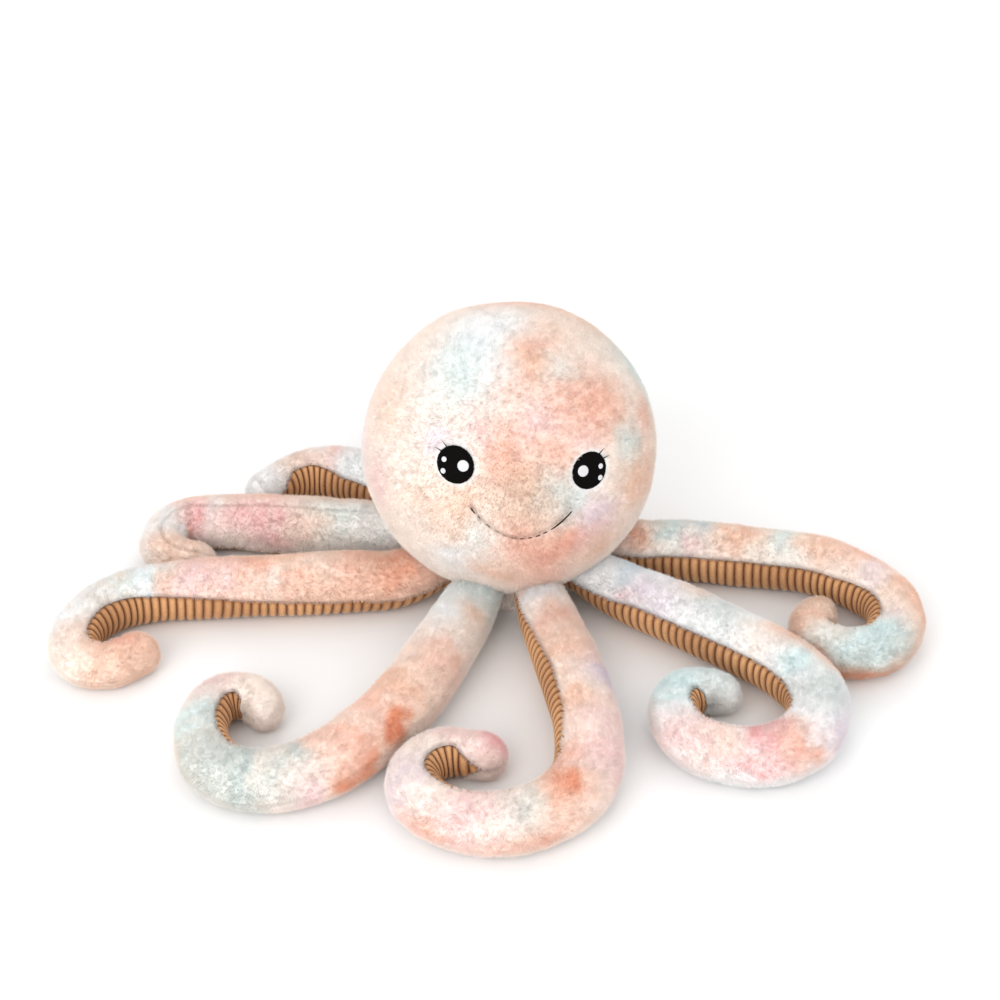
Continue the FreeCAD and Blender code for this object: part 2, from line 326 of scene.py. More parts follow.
def thread_material(name, colour, sheen):
    """Embroidery thread: fine parallel strands with a dull gloss."""
    nodes = Nodes(name)
    nodes.set(Roughness=0.7, Specular_IOR_Level=0.04, Sheen_Weight=sheen)
    place = nodes.add("ShaderNodeTexCoord")
    strands = nodes.add("ShaderNodeTexWave", Scale=620.0, Distortion=1.5, Detail=2.0)
    strands.inputs["Detail Scale"].default_value = 1.5
    strands.bands_direction = "DIAGONAL"
    nodes.link(place, "Object", strands, "Vector")
    low = tuple(0.7 * c for c in colour)
    colours = ramp(nodes, strands, "Fac", low, colour)
    nodes.link(colours, 2, nodes.shader, "Base Color")
    bump = nodes.add("ShaderNodeBump", Strength=0.4, Distance=0.0003)
    nodes.link(strands, "Fac", bump, "Height")
    nodes.link(bump, "Normal", nodes.shader, "Normal")
    return nodes.material


ARM_FUR = fur_material("arm_fur", "UV")
HEAD_FUR = fur_material("head_fur", "Object")
CORDUROY = corduroy_material("corduroy")
BLACK_THREAD = thread_material("black_thread", BLACK, 0.0)
WHITE_THREAD = thread_material("white_thread", THREAD_WHITE, 0.1)


def grow_pile(thing, area, seed, density=None):
    """Short plush on a skin: guide hairs with child hairs round them, repeatable by their seed."""
    grower = thing.modifiers.new("pile", "PARTICLE_SYSTEM")
    system = grower.particle_system
    system.seed = seed
    style = system.settings
    style.type = "HAIR"
    style.use_advanced_hair = True
    style.count = int(area * HAIRS_PER_MM2)
    style.emit_from = "FACE"
    style.distribution = "JIT"
    style.use_even_distribution = True
    style.hair_step = 3
    style.render_step = 2
    style.display_step = 2
    style.hair_length = PILE * MM
    style.factor_random = PILE * MM * 0.06
    style.child_type = "SIMPLE"
    style.rendered_child_count = CHILD_HAIRS
    style.child_radius = 1.8 * MM
    style.child_roundness = 0.8
    style.child_length = 1.0
    style.roughness_1 = 0.6 * MM
    style.roughness_1_size = 8.0 * MM
    style.roughness_2 = 0.4 * MM
    style.roughness_endpoint = 0.5 * MM
    style.root_radius = 0.26
    style.tip_radius = 0.08
    style.radius_scale = MM
    style.material = 1
    if density is not None:
        group = thing.vertex_groups.new(name="pile_density")
        for level in np.unique(density):
            members = np.nonzero(density == level)[0]
            group.add([int(i) for i in members], float(level), "REPLACE")
        system.vertex_group_density = "pile_density"


# ---- arms ----


def arm_length(arm):
    """Length of an arm along its centre line."""
    return sum(length for length, _ in arm[3])


def curl_side(arm):
    """1 where an arm curls to its left, -1 where it curls to its right."""
    return 1 if sum(turn for _, turn in arm[3]) > 0 else -1


def along(arm, distances):
    """Plan positions and headings at distances along an arm's centre line."""
    direction, heading, _, runs, _ = arm
    x = np.full(len(distances), ROOT_DISTANCE * math.cos(math.radians(direction)))
    y = np.full(len(distances), ROOT_DISTANCE * math.sin(math.radians(direction)))
    h = np.full(len(distances), math.radians(heading))
    before = np.minimum(distances, 0)
    x += before * np.cos(h)
    y += before * np.sin(h)
    left = np.maximum(distances, 0)
    for length, turn in runs:
        step = np.minimum(left, length)
        bend = math.radians(turn) * step / length
        chord = step * np.sinc(bend / 2 / math.pi)
        x += chord * np.cos(h + bend / 2)
        y += chord * np.sin(h + bend / 2)
        h += bend
        left = left - step
    return x, y, h


def turning(arm, distances):
    """How sharply the arm curls at each distance, in radians per millimetre."""
    starts = np.cumsum([0] + [length for length, _ in arm[3]])
    middles = (starts[:-1] + starts[1:]) / 2
    rates = [abs(math.radians(turn)) / length for length, turn in arm[3]]
    return np.interp(distances, middles, rates)


class ArmGrid:
    """Rows along an arm, past its end over the rounded tip, with everything a skin needs."""

    def __init__(self, arm, step):
        total = arm_length(arm)
        self.total = total
        end_radius = THICKNESS[-1][1]
        cap_start = total - end_radius
        skin_length = cap_start + end_radius * math.pi / 2
        rows = int(round((skin_length + ROOT_STUB) / step))
        self.row = np.linspace(-ROOT_STUB, skin_length, rows + 1)
        over = np.clip(self.row - cap_start, 0, None) / end_radius
        self.at = np.where(over > 0, cap_start + end_radius * np.sin(over), self.row)
        share = self.at / total
        radius = np.interp(share, *zip(*THICKNESS))
        settled = smooth(self.at / SETTLE_LENGTH)
        self.height = ROOT_HEIGHT + (radius - ROOT_HEIGHT) * settled
        self.radius = radius
        self.rounding = np.where(over > 0, np.cos(over), 1.0)
        x, y, h = along(arm, self.at)
        self.heading = h
        side = curl_side(arm)
        self.centre = np.stack([x, y, self.height], axis=1)
        self.inward = np.stack([-np.sin(h) * side, np.cos(h) * side, 0 * h], axis=1)
        self.curl = turning(arm, self.at)
        closing = smooth((total - 20 - self.at) / 50)
        middle = (PANEL_TOP + PANEL_BOTTOM) / 2
        half = (PANEL_TOP - PANEL_BOTTOM) / 2 * closing
        self.roll = np.interp(share, *zip(*arm[4]))
        self.panel_top = np.radians(middle + self.roll + half)
        self.panel_bottom = np.radians(middle + self.roll - half)

    def points(self, angle, depth):
        """Points at angles round the arm, a depth inside its outline."""
        radius = (self.radius[:, None] - depth) * self.rounding[:, None]
        ahead = np.where(self.rounding < 1, -depth.mean(axis=1) * np.sqrt(1 - self.rounding ** 2), 0)
        forward = np.stack([np.cos(self.heading), np.sin(self.heading), 0 * self.heading], axis=1)
        centre = self.centre + forward * ahead[:, None]
        p = centre[:, None, :] + self.inward[:, None, :] * (radius * np.cos(angle))[..., None]
        p[..., 2] += radius * np.sin(angle) - ARM_PRESS * smooth(self.at / SETTLE_LENGTH)[:, None]
        settled = (p[..., 2] + np.sqrt(p[..., 2] ** 2 + ARM_PRESS ** 2)) / 2
        p[..., 2] = settled
        return p


def mix_dye_and_shade(colours, colour, amount):
    """Lay one colour over another, with an amount from 0 to 1 at each point: dye patches, and painted shade
    in the corduroy's grooves.
    """
    amount = np.clip(amount, 0, 1)[..., None]
    return colours * (1 - amount) + np.array(colour) * amount


# How each arm is dyed: the main colour, then patches as (share of the length, degrees round the
# arm from the inside of the curl, reach along, reach round, colour, strength).
ARM_DYE = {
    "rear_left": (WHITE, [
        (0.15, 90, 60, 60, WHITE, 0.8), (0.42, 110, 45, 60, WHITE, 0.9), (0.5, 60, 30, 30, AQUA, 0.3),
        (0.6, 80, 30, 40, PINK, 0.5), (0.75, 60, 40, 40, PEACH, 0.6), (0.9, 100, 40, 50, WHITE, 0.6),
    ]),
    "left_rear": (CREAM, [
        (0.12, 80, 50, 60, WHITE, 0.5), (0.27, 80, 50, 60, AQUA, 0.5), (0.36, 40, 34, 22, PEACH, 0.5),
        (0.3, 160, 90, 34, PEACH, 1.0), (0.6, 160, 90, 34, PEACH, 0.9), (0.46, 40, 32, 40, ROSE, 0.55),
        (0.56, 55, 20, 20, ROSE, 0.5), (0.62, 80, 18, 40, WHITE, 0.6), (0.69, 35, 32, 32, ROSE, 0.7),
        (0.71, 20, 20, 14, CORAL, 0.6), (0.8, 100, 30, 60, WHITE, 0.8),
        (0.92, 120, 40, 90, PEACH, 0.5),
    ]),
    "left_front": (PEACH, [
        (0.06, 60, 30, 40, CORAL, 0.4), (0.1, 85, 20, 14, ORANGE, 0.4),
        (0.11, 35, 20, 16, ORANGE, 0.45), (0.18, 60, 30, 40, CORAL, 0.3),
        (0.25, 90, 30, 30, CREAM, 0.45), (0.31, 40, 26, 14, CORAL, 0.5),
        (0.34, 60, 26, 30, CREAM, 0.7), (0.38, 95, 18, 16, CORAL, 0.5), (0.43, 60, 26, 30, PINK, 0.6),
        (0.5, 70, 26, 40, PINK, 0.8), (0.59, 90, 26, 60, WHITE, 0.8), (0.66, 100, 50, 90, AQUA, 0.5),
        (0.74, 160, 50, 70, WHITE, 1.0), (0.84, 160, 30, 60, CREAM, 0.9),
        (0.9, 120, 26, 60, PEACH, 0.8), (0.95, 60, 20, 20, CORAL, 0.5),
    ]),
    "front_left": (CREAM, [
        (0.05, 100, 50, 90, AQUA, 0.6), (0.14, 70, 50, 30, WHITE, 0.8),
        (0.13, 140, 20, 20, PEACH, 0.5), (0.26, 130, 40, 50, CORAL, 0.35),
        (0.35, 90, 34, 60, PEACH, 0.9), (0.42, 80, 28, 40, CORAL, 0.4),
        (0.41, 150, 15, 14, ORANGE, 1.0), (0.48, 165, 28, 30, ORANGE, 0.5),
        (0.5, 195, 24, 16, ORANGE, 0.6), (0.51, 110, 28, 40, CORAL, 0.4),
        (0.57, 90, 18, 20, GREY, 0.6), (0.57, 180, 22, 24, PINK, 0.8), (0.65, 120, 32, 60, GREY, 0.75),
        (0.71, 150, 34, 60, GREY, 0.55), (0.75, 190, 26, 20, PEACH, 0.6),
        (0.8, 110, 36, 60, AQUA, 0.6), (0.88, 110, 26, 40, PINK, 0.5), (0.94, 120, 26, 60, CREAM, 0.6),
    ]),
    "front_right": (CREAM, [
        (0.01, 100, 18, 60, CORAL, 0.8), (0.06, 70, 24, 40, WHITE, 0.9),
        (0.14, 110, 34, 40, CORAL, 0.4), (0.17, 40, 26, 20, CORAL, 0.3),
        (0.23, 90, 34, 60, PEACH, 0.9), (0.28, 160, 30, 34, LILAC, 0.9),
        (0.35, 60, 34, 30, PEACH, 0.9), (0.39, 130, 28, 40, PINK, 0.6), (0.46, 140, 34, 40, PINK, 0.8),
        (0.49, 60, 34, 24, CORAL, 0.5), (0.55, 105, 24, 30, ORANGE, 0.55),
        (0.62, 110, 20, 40, GREY, 0.45), (0.63, 60, 22, 22, CREAM, 0.5),
        (0.61, 180, 50, 20, CORAL, 0.5), (0.7, 130, 34, 50, PINK, 0.8),
        (0.74, 190, 30, 18, CORAL, 0.5), (0.75, 80, 22, 30, CREAM, 0.8),
        (0.81, 150, 34, 60, LILAC, 0.5), (0.87, 160, 30, 50, CREAM, 0.9),
        (0.92, 90, 24, 40, PINK, 0.5), (0.99, 150, 24, 60, ROSE, 0.75),
    ]),
    "right_front": (WHITE, [
        (0.11, 100, 20, 26, BLUE, 0.45), (0.12, 45, 18, 12, ROSE, 0.35),
        (0.17, 60, 34, 24, LILAC, 0.5), (0.23, 130, 26, 26, PEACH, 0.5), (0.29, 90, 34, 40, GREY, 0.3),
        (0.36, 60, 26, 30, CREAM, 0.5), (0.4, 140, 30, 30, PEACH, 0.75),
        (0.46, 150, 20, 30, PEACH, 0.6), (0.46, 70, 20, 20, AQUA, 0.9), (0.53, 90, 30, 40, GREY, 0.4),
        (0.58, 175, 26, 30, LILAC, 0.7), (0.64, 135, 26, 34, CORAL, 0.6),
        (0.68, 85, 24, 30, ROSE, 0.8), (0.71, 160, 28, 14, ROSE, 0.6), (0.75, 110, 30, 40, PEACH, 0.5),
        (0.79, 140, 30, 50, PINK, 0.7), (0.85, 190, 26, 16, CORAL, 0.4), (0.9, 110, 40, 90, AQUA, 0.8),
        (0.98, 90, 26, 90, GREY, 0.4),
    ]),
    "right_rear": (CREAM, [
        (0.04, 90, 24, 50, CORAL, 0.35), (0.09, 60, 18, 18, ORANGE, 0.4),
        (0.15, 90, 24, 40, AQUA, 0.6), (0.19, 50, 18, 14, ROSE, 0.3), (0.22, 110, 20, 30, BLUE, 0.5),
        (0.29, 70, 30, 40, PEACH, 0.9), (0.38, 90, 24, 40, AQUA, 0.6), (0.45, 80, 26, 40, PEACH, 0.7),
        (0.52, 130, 28, 40, CORAL, 0.45), (0.58, 80, 20, 26, LILAC, 0.4),
        (0.64, 150, 34, 40, PEACH, 1.0), (0.67, 190, 22, 18, CORAL, 0.5),
        (0.72, 90, 18, 20, PINK, 0.7), (0.79, 120, 40, 50, AQUA, 1.0), (0.77, 170, 40, 30, GREY, 0.6),
        (0.82, 200, 50, 18, ORANGE, 0.85), (0.92, 120, 24, 50, PEACH, 0.8),
        (0.98, 90, 22, 60, SAND, 0.5),
    ]),
    "rear_right": (CREAM, [
        (0.1, 90, 50, 60, PEACH, 0.7), (0.25, 110, 50, 70, AQUA, 0.8), (0.38, 150, 40, 50, CORAL, 0.5),
        (0.5, 110, 44, 60, PEACH, 0.8), (0.62, 140, 40, 60, WHITE, 0.8),
        (0.74, 110, 34, 50, PINK, 0.8), (0.85, 150, 40, 60, AQUA, 0.8), (0.96, 90, 30, 90, PEACH, 0.7),
    ]),
}

# where the seam between an arm's two fur panels runs, in degrees round it before its roll
BACK_SEAM = {"left_rear": 140.0, "rear_left": 160.0}
BACK_SEAM_LOW = 178.0


def angle_apart(a, b):
    """Difference of two angles, from minus to plus half a turn."""
    return (a - b + np.pi) % (2 * np.pi) - np.pi


def arm_colours(name, grid, angle, points):
    """The dye at each point of an arm's fur, its patches blurred and made to wander."""
    main, patches = ARM_DYE[name]
    colours = np.broadcast_to(np.array(main), points.shape).copy()
    at = np.broadcast_to(grid.row[:, None], angle.shape)
    radius = grid.radius[:, None]
    wander = DYE(points, 30.0)
    drift = DYE(points + 700.0, 12.0)
    for share, around, reach_along, reach_round, colour, strength in patches:
        ahead = at - share * grid.total + 16 * wander + 7 * drift
        aside = angle_apart(angle, math.radians(around)) * radius + 14 * DYE(points + 300.0, 26.0)
        far = (ahead / reach_along) ** 2 + (aside / reach_round) ** 2
        strength_here = strength * np.exp(-0.9 * far) * (1 + 0.35 * drift)
        colours = mix_dye_and_shade(colours, colour, 1.25 * strength_here)
    return colours


def skin_piece(name, points, colours, uvs, rows, flip, tip=False):
    """One length of a skin, cut out of the whole grid between two rows."""
    first, last = rows
    part = points[first:last + 1]
    count, columns = part.shape[:2]
    flat = part.reshape(-1, 3)
    flat_colours = colours[first:last + 1].reshape(-1, 3)
    flat_uvs = uvs[first:last + 1].reshape(-1, 2)
    quads = grid_quads(count, columns, flip)
    extra = []
    if tip:
        end = len(flat)
        flat = np.vstack([flat, part[-1].mean(axis=0)])
        flat_colours = np.vstack([flat_colours, flat_colours[-columns:].mean(axis=0)])
        flat_uvs = np.vstack([flat_uvs, flat_uvs[-columns:].mean(axis=0)])
        rim = list(range(end - columns, end))
        pairs = list(zip(rim, rim[1:] + rim[:1]))
        extra = [(b, a, end) if flip else (a, b, end) for a, b in pairs]
    return make_mesh(name, flat, quads, flat_colours, flat_uvs, extra)


def fur_skin(name, arm):
    """Positions, colours and layout of the whole fur skin of an arm."""
    grid = ArmGrid(arm, FUR_GRID)
    columns = int(2 * math.pi * USUAL_RADIUS * FUR_SHARE / FUR_COLUMN)
    share = np.linspace(0, 1, columns + 1)
    span = grid.panel_bottom + 2 * np.pi - grid.panel_top
    angle = grid.panel_top[:, None] + span[:, None] * share[None, :]
    radius = grid.radius[:, None]
    from_top = (angle - grid.panel_top[:, None]) * radius
    from_bottom = (grid.panel_bottom[:, None] + 2 * np.pi - angle) * radius
    seam = np.radians(BACK_SEAM.get(name, BACK_SEAM_LOW) + grid.roll)[:, None]
    from_seam = angle_apart(angle, seam) * radius
    depth = PILE_SINK + EDGE_SINK * (np.exp(-(from_top / 3.5) ** 2) + np.exp(-(from_bottom / 3.5) ** 2))
    depth += (SEAM_SINK * np.exp(-(from_seam / 2.0) ** 2)
              - SEAM_PUFF * np.exp(-((np.abs(from_seam) - 7) / 5) ** 2))
    rough = grid.points(angle, depth)
    depth = depth - 1.6 * LUMPS(rough, 42.0) - 0.3 * CLUMPS(rough, 7.5) - 0.15 * CLUMPS(rough, 3.8)
    depth -= 0.9 * LUMPS(rough + 400.0, 18.0)
    points = grid.points(angle, depth)
    colours = arm_colours(name, grid, angle, rough)
    colours = colours * (1 + 0.025 * CLUMPS(rough, 7.5) + 0.025 * CLUMPS(rough, 3.8))[..., None]
    seam_shade = 1 - 0.06 * np.exp(-(from_seam / 1.8) ** 2)
    edge_shade = 1 - 0.16 * (np.exp(-(from_top / 3.0) ** 2) + np.exp(-(from_bottom / 3.0) ** 2))
    colours = np.clip(colours * (seam_shade * edge_shade)[..., None], 0, 1)
    uvs = np.stack([np.broadcast_to(grid.row[:, None], angle.shape), angle * USUAL_RADIUS], axis=-1)
    return grid, points, colours, uvs


def corduroy_skin(name, arm):
    """The whole corduroy underside of an arm, its wales running across the arm."""
    grid = ArmGrid(arm, CORD_ROW)
    keep = grid.at < grid.total - CORD_END
    columns = int(math.radians(PANEL_TOP - PANEL_BOTTOM) * USUAL_RADIUS / CORD_COLUMN)
    share = np.linspace(0, 1, columns + 1)
    span = grid.panel_top - grid.panel_bottom
    angle = grid.panel_bottom[:, None] + span[:, None] * share[None, :]
    radius = grid.radius[:, None]
    shrink = 1 - np.clip(grid.curl * grid.radius * GATHER, 0, GATHER)
    fabric = np.cumsum(shrink) * (grid.row[1] - grid.row[0])
    lean = 2.2 * np.sin(2.0 * angle + 1.0)
    place = np.stack(np.broadcast_arrays(fabric[:, None], angle * 20.0, 0.0), axis=-1)
    phase = (fabric[:, None] + lean + 1.6 * LUMPS(place + 50.0, 26.0)) / WALE
    across = np.abs((phase % 1.0) * 2 - 1)
    number = np.floor(phase)
    vary = 0.5 + 0.5 * np.sin(number * 12.9898 + sum(map(ord, name)))
    wale = np.sqrt(np.clip(1 - across ** 2.6, 0, 1))
    edge = np.minimum(angle - grid.panel_bottom[:, None], grid.panel_top[:, None] - angle) * radius
    full = smooth((edge + 1.0) / 6.0)
    relief = WALE_RELIEF * (0.85 + 0.2 * vary) * wale
    depth = PILE_SINK + CORD_SINK - relief * full + 1.6 * (1 - full)
    rough = grid.points(angle, depth)
    depth = depth - 1.4 * LUMPS(rough, 42.0)
    points = grid.points(angle, depth)
    # painted shade: darker down in the grooves and where the corduroy tucks under the fur; each wale also
    # differs a little at random
    bright = np.clip(wale ** 1.6 * (0.82 + 0.18 * vary) * (0.6 + 0.4 * full), 0, 1)
    colours = mix_dye_and_shade(np.broadcast_to(np.array(TAN_GROOVE_SHADE), points.shape), TAN_CREST, bright)
    uvs = np.stack([np.broadcast_to(fabric[:, None], angle.shape), angle * USUAL_RADIUS], axis=-1)
    last = int(np.nonzero(keep)[0][-1])
    return grid, points, colours, uvs, last


def row_at(grid, distance):
    """The row of a grid nearest to a distance along its arm."""
    return int(np.argmin(np.abs(grid.row - distance)))


def on_path(arm, distance, height=ROOT_HEIGHT):
    """A place on an arm's centre line, in metres."""
    x, y, _ = along(arm, np.array([float(distance)]))
    return (x[0] * MM, y[0] * MM, height * MM)


ROOT_BEND = (22.0, 88.0)     # lengths along an arm at its root hinge; the second helps set where a skin's middle length starts
MIDDLE_BEND = 45.0           # about half the length of a skin's middle length, either side of where the tip starts


def dress(piece, material):
    """Give a stuffed piece its material."""
    piece.data.materials.append(material)


def arm_pieces(name, arm, number):
    """Cut both skins into three lengths; the tip lengths ride on the tip's body and the others stay where
    they are made.
    """
    root = name + "_arm_root"
    tip = name + "_arm_tip"
    split = arm[2]
    cut = (min(split - MIDDLE_BEND - 4, (ROOT_BEND[1] + split) / 2 + 30), split + MIDDLE_BEND + 2)
    _, _, heading = along(arm, np.array([float(split)]))
    middle = Vector(on_path(arm, split))
    flip = curl_side(arm) < 0
    for kind in ("fur", "corduroy"):
        if kind == "fur":
            grid, points, colours, uvs = fur_skin(name, arm)
            last = len(grid.row) - 1
            material, slot, layer = ARM_FUR, "plush_fur", "cover"
        else:
            grid, points, colours, uvs, last = corduroy_skin(name, arm)
            material, slot, layer = CORDUROY, "ribbed_corduroy", "underside"
        cuts = [0, row_at(grid, cut[0]), row_at(grid, cut[1]), last]
        names = ["root", "middle", "tip"]
        for k, length in enumerate(names):
            rows = (cuts[k], cuts[k + 1])
            closed = kind == "fur" and length == "tip"
            piece = skin_piece(name + "_arm_" + length + "_" + kind, points, colours, uvs, rows,
                               flip, closed)
            dress(piece, material)
            if length == "root":
                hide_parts(root + "_" + layer)
                on_path(arm, ROOT_BEND[0])
                on_path(arm, ROOT_BEND[1])
                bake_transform(piece)
            elif length == "middle":
                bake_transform(piece)
            else:
                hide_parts(tip + "_" + layer)
                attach(piece, tip)
            if kind == "fur":
                area = (grid.row[cuts[k + 1]] - grid.row[cuts[k]]) * FUR_WIDTH
                grow_pile(piece, area, number * 10 + k)
                if length == "root":
                    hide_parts(root + "_stuffing")
                elif length == "tip":
                    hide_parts(tip + "_stuffing")


for number, (name, arm) in enumerate(ARMS.items()):
    arm_pieces(name, arm, number)


# ---- head ----

HEAD_GRID = 114           # squares along a quarter turn of the head's mesh
FOOT_ANGLE = math.asin(FOOT_R / HEAD_R)
FOOT_TOP = HEAD_R * (1 - math.cos(FOOT_ANGLE))
PANEL_R = FOOT_R - 5.5
UP = Vector((0, 0, 1))

# patches of dye on the head: degrees across and up the face, reach in degrees, colour, strength
HEAD_DYE = [
    (-70, 71, 26, WHITE, 0.9), (-46, 56, 15, AQUA, 0.45), (-20, 60, 10, WHITE, 0.8),
    (-27, 42, 9, GREY, 0.24), (-34, 47, 10, AQUA, 0.35), (-77, 24, 12, PEACH, 0.35),
    (-84, 6, 12, CREAM, 0.9), (3, 66, 8, PEACH, 0.9), (-6, 55, 8, CORAL, 0.32),
    (66, 78, 10, PEACH, 0.5), (100, 64, 16, CREAM, 0.8), (16, 74, 7, CORAL, 0.35),
    (21, 47, 10, CORAL, 0.47), (38, 54, 10, CORAL, 0.5), (40, 44, 11, CORAL, 0.5),
    (53, 41, 7, ORANGE, 0.15), (30, 60, 8, AQUA, 0.4), (7, 40, 9, PINK, 0.8),
    (-11, 37, 8, CORAL, 0.43), (-22, 35, 7, PINK, 0.8), (-34, 33, 8, CREAM, 0.9),
    (-40, 28, 6, LILAC, 0.64), (-7, 27, 10, CORAL, 0.65), (15, 28, 9, CORAL, 0.55),
    (34, 35, 7, CORAL, 0.5), (28, 31, 5, PINK, 0.5), (55, 27, 8, GREY, 0.4), (52, 22, 7, AQUA, 0.48),
    (72, 27, 9, CORAL, 0.45), (-1, 17, 10, SAND, 0.6), (-20, 12, 8, SAND, 0.32),
    (-24, 8, 8, PEACH, 0.7), (14, 17, 8, GREY, 0.48), (18, 9, 7, GREY, 0.4), (24, 12, 5, AQUA, 0.56),
    (2, 4, 8, SAND, 0.4), (32, -1, 9, ROSE, 0.28), (33, 3, 9, LILAC, 0.64), (40, 11, 7, CREAM, 0.8),
    (51, 10, 9, PEACH, 0.8), (-40, 2, 11, PEACH, 0.4), (-28, -9, 8, PEACH, 0.5),
    (-17, -5, 6, AQUA, 0.48), (-52, 12, 8, CREAM, 0.9), (1, -7, 10, CORAL, 0.61),
    (18, -8, 8, ORANGE, 0.45), (12, -16, 9, CORAL, 0.65), (26, -9, 7, ROSE, 0.4),
    (-21, -21, 11, WHITE, 0.9), (-6, -26, 9, PEACH, 0.7), (14, -33, 12, CORAL, 0.43),
    (-47, -15, 12, CREAM, 0.9), (36, -18, 11, PEACH, 0.7), (62, 4, 12, PEACH, 0.7),
    (64, -16, 12, CREAM, 0.8), (-66, -4, 9, PINK, 0.6),
    # the back of the head
    (110, 30, 22, AQUA, 0.8), (105, -5, 18, PEACH, 0.8), (140, 45, 20, PEACH, 0.8),
    (165, 20, 20, WHITE, 0.8), (150, -5, 16, CORAL, 0.6), (-160, 35, 20, PINK, 0.8),
    (-165, 0, 20, AQUA, 0.8), (-130, 20, 22, PEACH, 0.7), (-120, 50, 18, CREAM, 0.8),
    (-105, -5, 18, LILAC, 0.8), (-140, -10, 16, CORAL, 0.5), (180, 60, 14, CORAL, 0.4),
    (-100, 40, 14, CREAM, 0.9),
]


FACE_POSE = np.array(Matrix.Rotation(math.radians(FACE_TURN), 3, "Z")
                     @ Matrix.Rotation(math.radians(FACE_TILT), 3, "Y"))


def face_direction(across, up):
    """Direction from the head's centre at degrees across and up the face."""
    a = np.radians(across)
    u = np.radians(up)
    level = np.stack([np.cos(u) * np.sin(a), -np.cos(u) * np.cos(a), np.sin(u)], axis=-1)
    return level @ FACE_POSE.T


def face_angles(directions):
    """Degrees across and up the face of each direction from the head's centre."""
    level = directions @ FACE_POSE
    return (np.degrees(np.arctan2(level[..., 0], -level[..., 1])),
            np.degrees(np.arcsin(np.clip(level[..., 2], -1, 1))))


def face_axes(across, up):
    """Outward, rightward and upward directions at a place on the face."""
    out = face_direction(across, up)
    side = np.cross(FACE_POSE[:, 2], out)
    side /= np.linalg.norm(side)
    return out, side, np.cross(out, side)


def on_face(across, up, right, above, height):
    """Points beside a place on the face, a height over the head's outline."""
    out, side, upward = face_axes(across, up)
    p = out * HEAD_R + np.multiply.outer(right, side) + np.multiply.outer(above, upward)
    p = p / np.linalg.norm(p, axis=-1, keepdims=True) * (HEAD_R + np.asarray(height))[..., None]
    return p + np.array([0, 0, HEAD_R])


def mouth_up(across):
    """How far up the face the smile's line runs, in degrees."""
    share = across / MOUTH_HALF_WIDTH
    return MOUTH_MIDDLE_UP + (MOUTH_CORNER_UP - MOUTH_MIDDLE_UP) * share ** 2


def ball_grid(count):
    """Directions of a ball's points and its quads, as six warped squares joined at their edges."""
    side = np.tan(np.linspace(-1, 1, count + 1) * math.pi / 4)
    u, v = np.meshgrid(side, side, indexing="ij")
    points = []
    quads = []
    for axis in range(3):
        for sign in (1, -1):
            square = np.zeros(u.shape + (3,))
            square[..., axis] = sign
            square[..., (axis + 1) % 3] = u
            square[..., (axis + 2) % 3] = v
            quads.append(grid_quads(count + 1, count + 1, sign > 0) + len(points) * u.size)
            points.append(square.reshape(-1, 3))
    points = np.vstack(points)
    points /= np.linalg.norm(points, axis=1, keepdims=True)
    _, first, merged = np.unique(np.round(points, 6), axis=0, return_index=True, return_inverse=True)
    return points[first], merged.ravel()[np.vstack(quads)]


def head_outline(directions):
    """The ball, with its lowest part drawn out into a short round foot, and the way out of it."""
    polar = np.arccos(np.clip(-directions[:, 2], -1, 1))
    sideways = np.linalg.norm(directions[:, :2], axis=1)
    round_about = directions[:, :2] / np.maximum(sideways, 1e-9)[:, None]
    disc = FOOT_R - FOOT_EDGE
    corner = FOOT_EDGE * math.pi / 2
    path = polar / FOOT_ANGLE * (disc + corner + FOOT_TOP - FOOT_EDGE)
    turn = np.clip((path - disc) / FOOT_EDGE, 0, math.pi / 2)
    across = np.minimum(path, disc) + FOOT_EDGE * np.sin(turn)
    height = FOOT_EDGE * (1 - np.cos(turn)) + np.clip(path - disc - corner, 0, None)
    foot = np.column_stack([round_about * across[:, None], height])
    foot_out = np.column_stack([round_about * np.sin(turn)[:, None], -np.cos(turn)])
    on_foot = (polar < FOOT_ANGLE)[:, None]
    ball = directions * HEAD_R + np.array([0, 0, HEAD_R])
    return np.where(on_foot, foot, ball), np.where(on_foot, foot_out, directions)


